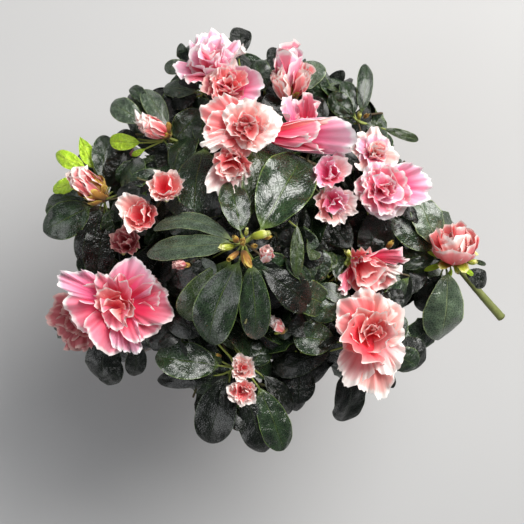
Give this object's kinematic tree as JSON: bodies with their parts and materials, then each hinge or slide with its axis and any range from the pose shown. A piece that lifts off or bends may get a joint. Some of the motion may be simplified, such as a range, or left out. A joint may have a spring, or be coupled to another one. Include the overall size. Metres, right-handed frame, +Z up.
{
  "type": "potted azalea shrub",
  "caption": "Domed azalea shrub in bloom, with double ruffled flowers, glossy dark leaves and a short forked stem, in a plain round clay pot filled with soil.",
  "frame": {"origin": "centre of the flat underside of the pot", "axes": "+Z up along the pot; +Y towards the back of the crown, which is the upper edge of the view from straight above; +X to the right in that view, towards the side shoot"},
  "size_m": [0.2948, 0.2603, 0.2674],
  "materials": {
    "clay": "matt unglazed terracotta",
    "soil": "crumbly dark peat",
    "bark": "finely fissured grey-brown bark",
    "green_wood": "smooth olive-green young stem",
    "foliage": "glossy dark green leaves with net veins",
    "young_foliage": "bright yellow-green young leaves",
    "petal": "satin petals, coral pink at the heart and white at the ruffled edge",
    "bud_scale": "sticky yellow-green to tan bud scales"
  },
  "bodies": {
    "root": {"pot": "clay", "soil": "soil", "trunk": "bark", "bough_crown": "bark", "bough_back": "bark", "bough_back_right": "bark", "bough_right": "bark", "bough_side_shoot": "bark", "bough_front_right": "bark", "bough_front": "bark", "bough_front_left": "bark", "bough_left": "bark", "bough_left_back": "bark", "bough_back_left": "bark", "side_stem_stub": "green_wood", "foliage_crown": "foliage", "foliage_back_middle": "foliage", "foliage_front_left": "foliage", "foliage_front_right": "foliage", "foliage_right": "foliage", "foliage_back_left": "foliage", "foliage_back": "foliage", "foliage_front": "foliage", "foliage_left": "foliage", "foliage_left_back": "foliage", "foliage_back_right": "foliage", "foliage_side_shoot": "foliage", "foliage_side_leaf": "foliage", "foliage_right_middle": "foliage", "foliage_left_middle": "foliage", "foliage_front_middle": "foliage", "foliage_left_front": "foliage", "foliage_right_front": "foliage", "foliage_skirt_1": "foliage", "foliage_skirt_2": "foliage", "foliage_skirt_3": "foliage", "foliage_skirt_4": "foliage", "foliage_skirt_5": "foliage", "foliage_skirt_6": "foliage"}
  },
  "joints": []
}
